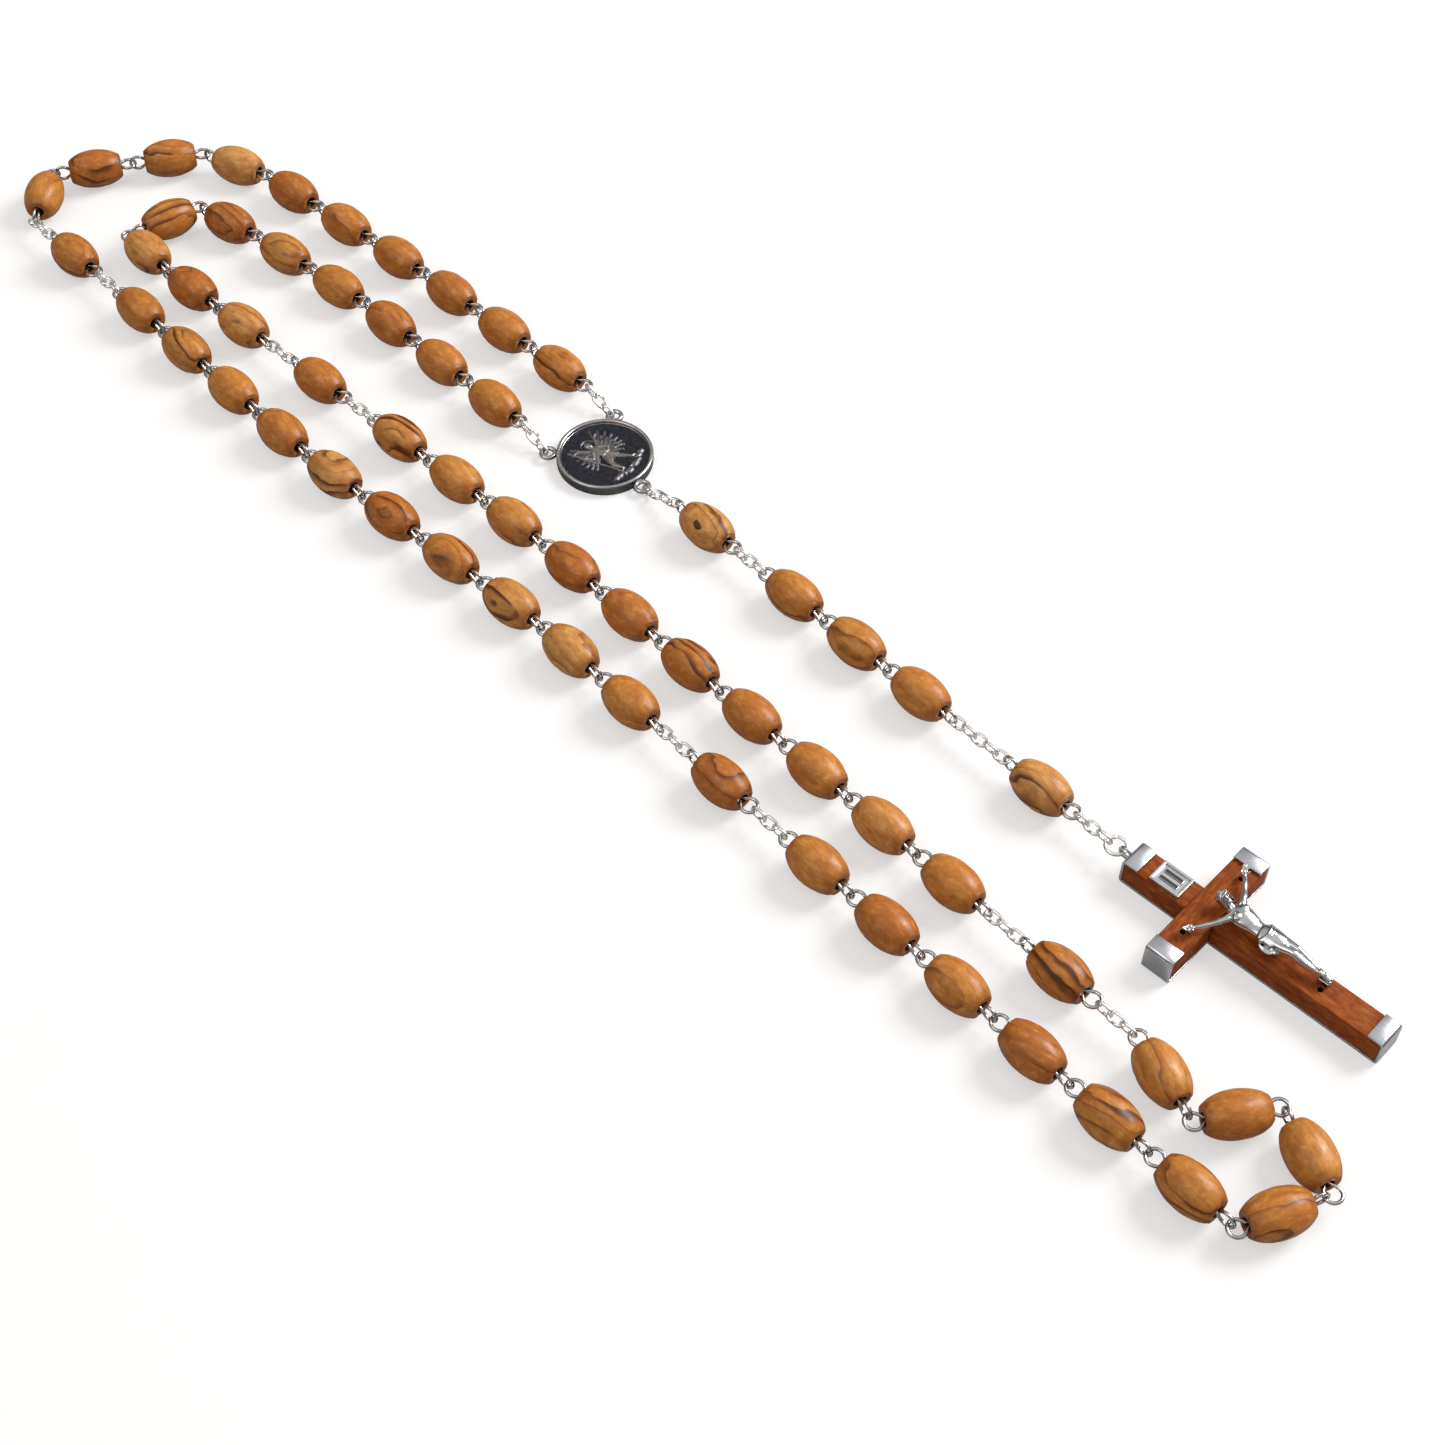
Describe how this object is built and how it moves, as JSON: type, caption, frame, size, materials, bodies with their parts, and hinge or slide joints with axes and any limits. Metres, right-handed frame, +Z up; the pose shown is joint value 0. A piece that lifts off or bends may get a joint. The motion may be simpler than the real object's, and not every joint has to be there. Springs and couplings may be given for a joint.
{
  "type": "rosary",
  "caption": "Wooden-bead prayer rosary with wire eye pins, short chain sections, a round joining medal and a crucifix, laid out in two long folds.",
  "frame": {"origin": "centre of the medal's flat back, on the table", "axes": "+Z up from the table, +X to the right and +Y away as the rosary is laid out, with the crucifix at the near right"},
  "size_m": [0.1897, 0.1905, 0.0064],
  "materials": {
    "olive_wood": "turned olive wood with dark growth rings, worn satin",
    "cross_wood": "red-brown straight-grained wood, satin",
    "pin_wire": "drawn steel wire, bright",
    "chain_silver": "bright silver plate",
    "medal_metal": "darkened silver alloy with a polished rim",
    "cross_silver": "satin silver alloy"
  },
  "bodies": {
    "medal": {"medal": "medal_metal"},
    "chain_1": {"chain_1": "chain_silver"},
    "drop_pater_1": {"drop_pater_1_pin": "pin_wire"},
    "chain_2": {"chain_2": "chain_silver"},
    "drop_ave_1": {"drop_ave_1_pin": "pin_wire"},
    "drop_ave_2": {"drop_ave_2_pin": "pin_wire"},
    "drop_ave_3": {"drop_ave_3_pin": "pin_wire"},
    "chain_3": {"chain_3": "chain_silver"},
    "drop_pater_2": {"drop_pater_2_pin": "pin_wire"},
    "chain_4": {"chain_4": "chain_silver"},
    "jump_ring": {"jump_ring": "chain_silver"},
    "crucifix": {"crucifix_backing": "cross_silver", "crucifix_upright_upper": "cross_wood", "crucifix_upright_lower": "cross_wood", "crucifix_crossbar": "cross_wood", "crucifix_title_plate": "cross_silver", "crucifix_corpus": "cross_silver", "crucifix_peg_right_hand": "cross_silver", "crucifix_peg_left_hand": "cross_silver", "crucifix_peg_feet": "cross_silver"},
    "chain_right": {"chain_right": "chain_silver"},
    "decade_1_pair_1": {"decade_1_pair_1": "olive_wood"},
    "decade_1_pair_2": {"decade_1_pair_2": "olive_wood"},
    "decade_1_pair_3": {"decade_1_pair_3": "olive_wood"},
    "decade_1_pair_4": {"decade_1_pair_4": "olive_wood"},
    "decade_1_pair_5": {"decade_1_pair_5": "olive_wood"},
    "chain_left": {"chain_left": "chain_silver"},
    "decade_5_pair_5": {"decade_5_pair_5": "olive_wood"},
    "decade_5_pair_4": {"decade_5_pair_4": "olive_wood"},
    "decade_5_pair_3": {"decade_5_pair_3": "olive_wood"},
    "decade_5_pair_2": {"decade_5_pair_2": "olive_wood"},
    "decade_5_pair_1": {"decade_5_pair_1": "olive_wood"},
    "pater_1": {"pater_1_pin_and_chains": "pin_wire"},
    "decade_2_pair_1": {"decade_2_pair_1": "olive_wood"},
    "decade_2_pair_2": {"decade_2_pair_2": "olive_wood"},
    "decade_2_pair_3": {"decade_2_pair_3": "olive_wood"},
    "decade_2_pair_4": {"decade_2_pair_4": "olive_wood"},
    "decade_2_pair_5": {"decade_2_pair_5": "olive_wood"},
    "pater_2": {"pater_2_pin_and_chains": "pin_wire"},
    "decade_3_pair_1": {"decade_3_pair_1": "olive_wood"},
    "decade_3_pair_2": {"decade_3_pair_2": "olive_wood"},
    "decade_3_pair_3": {"decade_3_pair_3": "olive_wood"},
    "decade_3_pair_4": {"decade_3_pair_4": "olive_wood"},
    "pater_4": {"pater_4_pin_and_chains": "pin_wire"},
    "decade_4_pair_5": {"decade_4_pair_5": "olive_wood"},
    "decade_4_pair_4": {"decade_4_pair_4": "olive_wood"},
    "decade_4_pair_3": {"decade_4_pair_3": "olive_wood"},
    "decade_4_pair_2": {"decade_4_pair_2": "olive_wood"},
    "decade_4_pair_1": {"decade_4_pair_1": "olive_wood"},
    "pater_3": {"pater_3_pin_and_chains": "pin_wire"},
    "decade_3_pair_5": {"decade_3_pair_5": "olive_wood"},
    "pater_1_bead": {"pater_1_bead": "olive_wood"},
    "pater_2_bead": {"pater_2_bead": "olive_wood"},
    "pater_4_bead": {"pater_4_bead": "olive_wood"},
    "pater_3_bead": {"pater_3_bead": "olive_wood"},
    "drop_pater_1_bead": {"drop_pater_1_bead": "olive_wood"},
    "drop_ave_1_bead": {"drop_ave_1_bead": "olive_wood"},
    "drop_ave_2_bead": {"drop_ave_2_bead": "olive_wood"},
    "drop_ave_3_bead": {"drop_ave_3_bead": "olive_wood"},
    "drop_pater_2_bead": {"drop_pater_2_bead": "olive_wood"}
  },
  "joints": [
    {"name": "chain_1_swing", "type": "hinge", "parent": "medal", "child": "chain_1", "pos_m": [0.00549, -0.00609, 0.001], "axis": [0, 0, 1], "range_deg": [-3, 45]},
    {"name": "drop_pater_1_lift", "type": "hinge", "parent": "chain_1", "child": "drop_pater_1", "pos_m": [0.01121, -0.01212, 0.003], "axis": [-0.7254, -0.6884, 0], "range_deg": [-45, 45]},
    {"name": "chain_2_lift", "type": "hinge", "parent": "drop_pater_1", "child": "chain_2", "pos_m": [0.01913, -0.02047, 0.003], "axis": [0.7254, 0.6884, 0], "range_deg": [-45, 45]},
    {"name": "drop_ave_1_swing", "type": "hinge", "parent": "chain_2", "child": "drop_ave_1", "pos_m": [0.02306, -0.02461, 0.003], "axis": [0, 0, 1], "range_deg": [-5, 30]},
    {"name": "drop_ave_2_lift", "type": "hinge", "parent": "drop_ave_1", "child": "drop_ave_2", "pos_m": [0.03015, -0.03209, 0.003], "axis": [0.7254, 0.6884, 0], "range_deg": [-45, 45]},
    {"name": "drop_ave_3_lift", "type": "hinge", "parent": "drop_ave_2", "child": "drop_ave_3", "pos_m": [0.03827, -0.04064, 0.003], "axis": [-0.7254, -0.6884, 0], "range_deg": [-45, 45]},
    {"name": "chain_3_lift", "type": "hinge", "parent": "drop_ave_3", "child": "chain_3", "pos_m": [0.0464, -0.0492, 0.003], "axis": [-0.7254, -0.6884, 0], "range_deg": [-45, 45]},
    {"name": "drop_pater_2_lift", "type": "hinge", "parent": "chain_3", "child": "drop_pater_2", "pos_m": [0.05375, -0.05695, 0.003], "axis": [0.7254, 0.6884, 0], "range_deg": [-45, 45]},
    {"name": "chain_4_swing", "type": "hinge", "parent": "drop_pater_2", "child": "chain_4", "pos_m": [0.06084, -0.06442, 0.003], "axis": [0, 0, 1], "range_deg": [-8, 45]},
    {"name": "jump_ring_lift", "type": "hinge", "parent": "chain_4", "child": "jump_ring", "pos_m": [0.06477, -0.06857, 0.003], "axis": [-0.7254, -0.6884, 0], "range_deg": [-45, 45]},
    {"name": "crucifix_swing", "type": "hinge", "parent": "jump_ring", "child": "crucifix", "pos_m": [0.06581, -0.06966, 0.003], "axis": [0, 0, 1], "range_deg": [-10, 60]},
    {"name": "chain_right_lift", "type": "hinge", "parent": "medal", "child": "chain_right", "pos_m": [0.0004, 0.00883, 0.00102], "axis": [-0.6933, -0.7207, 0], "range_deg": [-45, 45]},
    {"name": "decade_1_pair_1_lift", "type": "hinge", "parent": "chain_right", "child": "decade_1_pair_1", "pos_m": [-0.00252, 0.01164, 0.003], "axis": [0.6933, 0.7207, 0], "range_deg": [-45, 45]},
    {"name": "decade_1_pair_2_lift", "type": "hinge", "parent": "decade_1_pair_1", "child": "decade_1_pair_2", "pos_m": [-0.01946, 0.02794, 0.003], "axis": [0.6933, 0.7207, 0], "range_deg": [-45, 45]},
    {"name": "decade_1_pair_3_lift", "type": "hinge", "parent": "decade_1_pair_2", "child": "decade_1_pair_3", "pos_m": [-0.03687, 0.04416, 0.003], "axis": [-0.6665, -0.7455, 0], "range_deg": [-45, 45]},
    {"name": "decade_1_pair_4_lift", "type": "hinge", "parent": "decade_1_pair_3", "child": "decade_1_pair_4", "pos_m": [-0.05488, 0.05972, 0.003], "axis": [0.6529, 0.7574, 0], "range_deg": [-45, 45]},
    {"name": "decade_1_pair_5_lift", "type": "hinge", "parent": "decade_1_pair_4", "child": "decade_1_pair_5", "pos_m": [-0.07685, 0.06373, 0.003], "axis": [0.217, -0.9762, 0], "range_deg": [-45, 45]},
    {"name": "chain_left_lift", "type": "hinge", "parent": "medal", "child": "chain_left", "pos_m": [-0.0089, 0.00131, 0.00102], "axis": [0.7142, 0.6999, 0], "range_deg": [-45, 45]},
    {"name": "decade_5_pair_5_lift", "type": "hinge", "parent": "chain_left", "child": "decade_5_pair_5", "pos_m": [-0.01174, 0.0042, 0.003], "axis": [-0.7142, -0.6999, 0], "range_deg": [-45, 45]},
    {"name": "decade_5_pair_4_lift", "type": "hinge", "parent": "decade_5_pair_5", "child": "decade_5_pair_4", "pos_m": [-0.02819, 0.02099, 0.003], "axis": [0.7142, 0.6999, 0], "range_deg": [-45, 45]},
    {"name": "decade_5_pair_3_lift", "type": "hinge", "parent": "decade_5_pair_4", "child": "decade_5_pair_3", "pos_m": [-0.04547, 0.03733, 0.003], "axis": [-0.65, -0.7599, 0], "range_deg": [-45, 45]},
    {"name": "decade_5_pair_2_lift", "type": "hinge", "parent": "decade_5_pair_3", "child": "decade_5_pair_2", "pos_m": [-0.06428, 0.05188, 0.003], "axis": [0.5755, 0.8178, 0], "range_deg": [-45, 45]},
    {"name": "decade_5_pair_1_lift", "type": "hinge", "parent": "decade_5_pair_2", "child": "decade_5_pair_1", "pos_m": [-0.06845, 0.0382, 0.003], "axis": [-0.7439, -0.6682, 0], "range_deg": [-45, 45]},
    {"name": "pater_1_lift", "type": "hinge", "parent": "decade_1_pair_5", "child": "pater_1", "pos_m": [-0.09067, 0.05045, 0.003], "axis": [0.9979, -0.064, 0], "range_deg": [-45, 45]},
    {"name": "decade_2_pair_1_lift", "type": "hinge", "parent": "pater_1", "child": "decade_2_pair_1", "pos_m": [-0.07529, 0.03335, 0.003], "axis": [-0.7167, -0.6974, 0], "range_deg": [-45, 45]},
    {"name": "decade_2_pair_2_lift", "type": "hinge", "parent": "decade_2_pair_1", "child": "decade_2_pair_2", "pos_m": [-0.05916, 0.01626, 0.003], "axis": [0.7292, 0.6843, 0], "range_deg": [-45, 45]},
    {"name": "decade_2_pair_3_lift", "type": "hinge", "parent": "decade_2_pair_2", "child": "decade_2_pair_3", "pos_m": [-0.04283, -0.00105, 0.003], "axis": [-0.7249, -0.6888, 0], "range_deg": [-45, 45]},
    {"name": "decade_2_pair_4_lift", "type": "hinge", "parent": "decade_2_pair_3", "child": "decade_2_pair_4", "pos_m": [-0.02533, -0.01718, 0.003], "axis": [-0.6743, -0.7385, 0], "range_deg": [-45, 45]},
    {"name": "decade_2_pair_5_lift", "type": "hinge", "parent": "decade_2_pair_4", "child": "decade_2_pair_5", "pos_m": [-0.00784, -0.03332, 0.003], "axis": [-0.6838, -0.7297, 0], "range_deg": [-45, 45]},
    {"name": "pater_2_lift", "type": "hinge", "parent": "decade_2_pair_5", "child": "pater_2", "pos_m": [0.00842, -0.0507, 0.003], "axis": [-0.7332, -0.68, 0], "range_deg": [-45, 45]},
    {"name": "decade_3_pair_1_lift", "type": "hinge", "parent": "pater_2", "child": "decade_3_pair_1", "pos_m": [0.02431, -0.06784, 0.003], "axis": [-0.7332, -0.68, 0], "range_deg": [-45, 45]},
    {"name": "decade_3_pair_2_lift", "type": "hinge", "parent": "decade_3_pair_1", "child": "decade_3_pair_2", "pos_m": [0.04029, -0.08507, 0.003], "axis": [-0.7332, -0.68, 0], "range_deg": [-45, 45]},
    {"name": "decade_3_pair_3_lift", "type": "hinge", "parent": "decade_3_pair_2", "child": "decade_3_pair_3", "pos_m": [0.05648, -0.10253, 0.003], "axis": [0.7332, 0.68, 0], "range_deg": [-45, 45]},
    {"name": "decade_3_pair_4_lift", "type": "hinge", "parent": "decade_3_pair_3", "child": "decade_3_pair_4", "pos_m": [0.07266, -0.11998, 0.003], "axis": [0.7332, 0.68, 0], "range_deg": [-7, 7]},
    {"name": "pater_4_lift", "type": "hinge", "parent": "decade_5_pair_1", "child": "pater_4", "pos_m": [-0.05115, 0.02187, 0.003], "axis": [0.6823, 0.7311, 0], "range_deg": [-45, 45]},
    {"name": "decade_4_pair_5_lift", "type": "hinge", "parent": "pater_4", "child": "decade_4_pair_5", "pos_m": [-0.03406, 0.00592, 0.003], "axis": [-0.6823, -0.7311, 0], "range_deg": [-45, 45]},
    {"name": "decade_4_pair_4_lift", "type": "hinge", "parent": "decade_4_pair_5", "child": "decade_4_pair_4", "pos_m": [-0.01688, -0.01011, 0.003], "axis": [0.6823, 0.7311, 0], "range_deg": [-45, 45]},
    {"name": "decade_4_pair_3_lift", "type": "hinge", "parent": "decade_4_pair_4", "child": "decade_4_pair_3", "pos_m": [-0.00012, -0.027, 0.003], "axis": [-0.7293, -0.6842, 0], "range_deg": [-45, 45]},
    {"name": "decade_4_pair_2_lift", "type": "hinge", "parent": "decade_4_pair_3", "child": "decade_4_pair_2", "pos_m": [0.01617, -0.04436, 0.003], "axis": [-0.7293, -0.6842, 0], "range_deg": [-45, 45]},
    {"name": "decade_4_pair_1_lift", "type": "hinge", "parent": "decade_4_pair_2", "child": "decade_4_pair_1", "pos_m": [0.03245, -0.06171, 0.003], "axis": [0.7293, 0.6842, 0], "range_deg": [-45, 45]},
    {"name": "pater_3_lift", "type": "hinge", "parent": "decade_4_pair_1", "child": "pater_3", "pos_m": [0.04874, -0.07907, 0.003], "axis": [0.7293, 0.6842, 0], "range_deg": [-45, 45]},
    {"name": "decade_3_pair_5_lift", "type": "hinge", "parent": "pater_3", "child": "decade_3_pair_5", "pos_m": [0.06473, -0.09612, 0.003], "axis": [-0.7293, -0.6842, 0], "range_deg": [-45, 45]},
    {"name": "pater_1_bead_spin", "type": "hinge", "parent": "pater_1", "child": "pater_1_bead", "pos_m": [-0.08302, 0.0413, 0.003], "axis": [0.6974, -0.7167, 0], "continuous": true},
    {"name": "pater_2_bead_spin", "type": "hinge", "parent": "pater_2", "child": "pater_2_bead", "pos_m": [0.01677, -0.05971, 0.003], "axis": [0.68, -0.7332, 0], "continuous": true},
    {"name": "pater_4_bead_spin", "type": "hinge", "parent": "pater_4", "child": "pater_4_bead", "pos_m": [-0.04217, 0.01349, 0.003], "axis": [0.7311, -0.6823, 0], "continuous": true},
    {"name": "pater_3_bead_spin", "type": "hinge", "parent": "pater_3", "child": "pater_3_bead", "pos_m": [0.05714, -0.08803, 0.003], "axis": [0.6842, -0.7293, 0], "continuous": true},
    {"name": "drop_pater_1_bead_spin", "type": "hinge", "parent": "drop_pater_1", "child": "drop_pater_1_bead", "pos_m": [0.01475, -0.01586, 0.003], "axis": [0.6884, -0.7254, 0], "continuous": true},
    {"name": "drop_ave_1_bead_spin", "type": "hinge", "parent": "drop_ave_1", "child": "drop_ave_1_bead", "pos_m": [0.02661, -0.02835, 0.003], "axis": [0.6884, -0.7254, 0], "continuous": true},
    {"name": "drop_ave_2_bead_spin", "type": "hinge", "parent": "drop_ave_2", "child": "drop_ave_2_bead", "pos_m": [0.03473, -0.03691, 0.003], "axis": [0.6884, -0.7254, 0], "continuous": true},
    {"name": "drop_ave_3_bead_spin", "type": "hinge", "parent": "drop_ave_3", "child": "drop_ave_3_bead", "pos_m": [0.04285, -0.04547, 0.003], "axis": [0.6884, -0.7254, 0], "continuous": true},
    {"name": "drop_pater_2_bead_spin", "type": "hinge", "parent": "drop_pater_2", "child": "drop_pater_2_bead", "pos_m": [0.05729, -0.06069, 0.003], "axis": [0.6884, -0.7254, 0], "continuous": true}
  ]
}
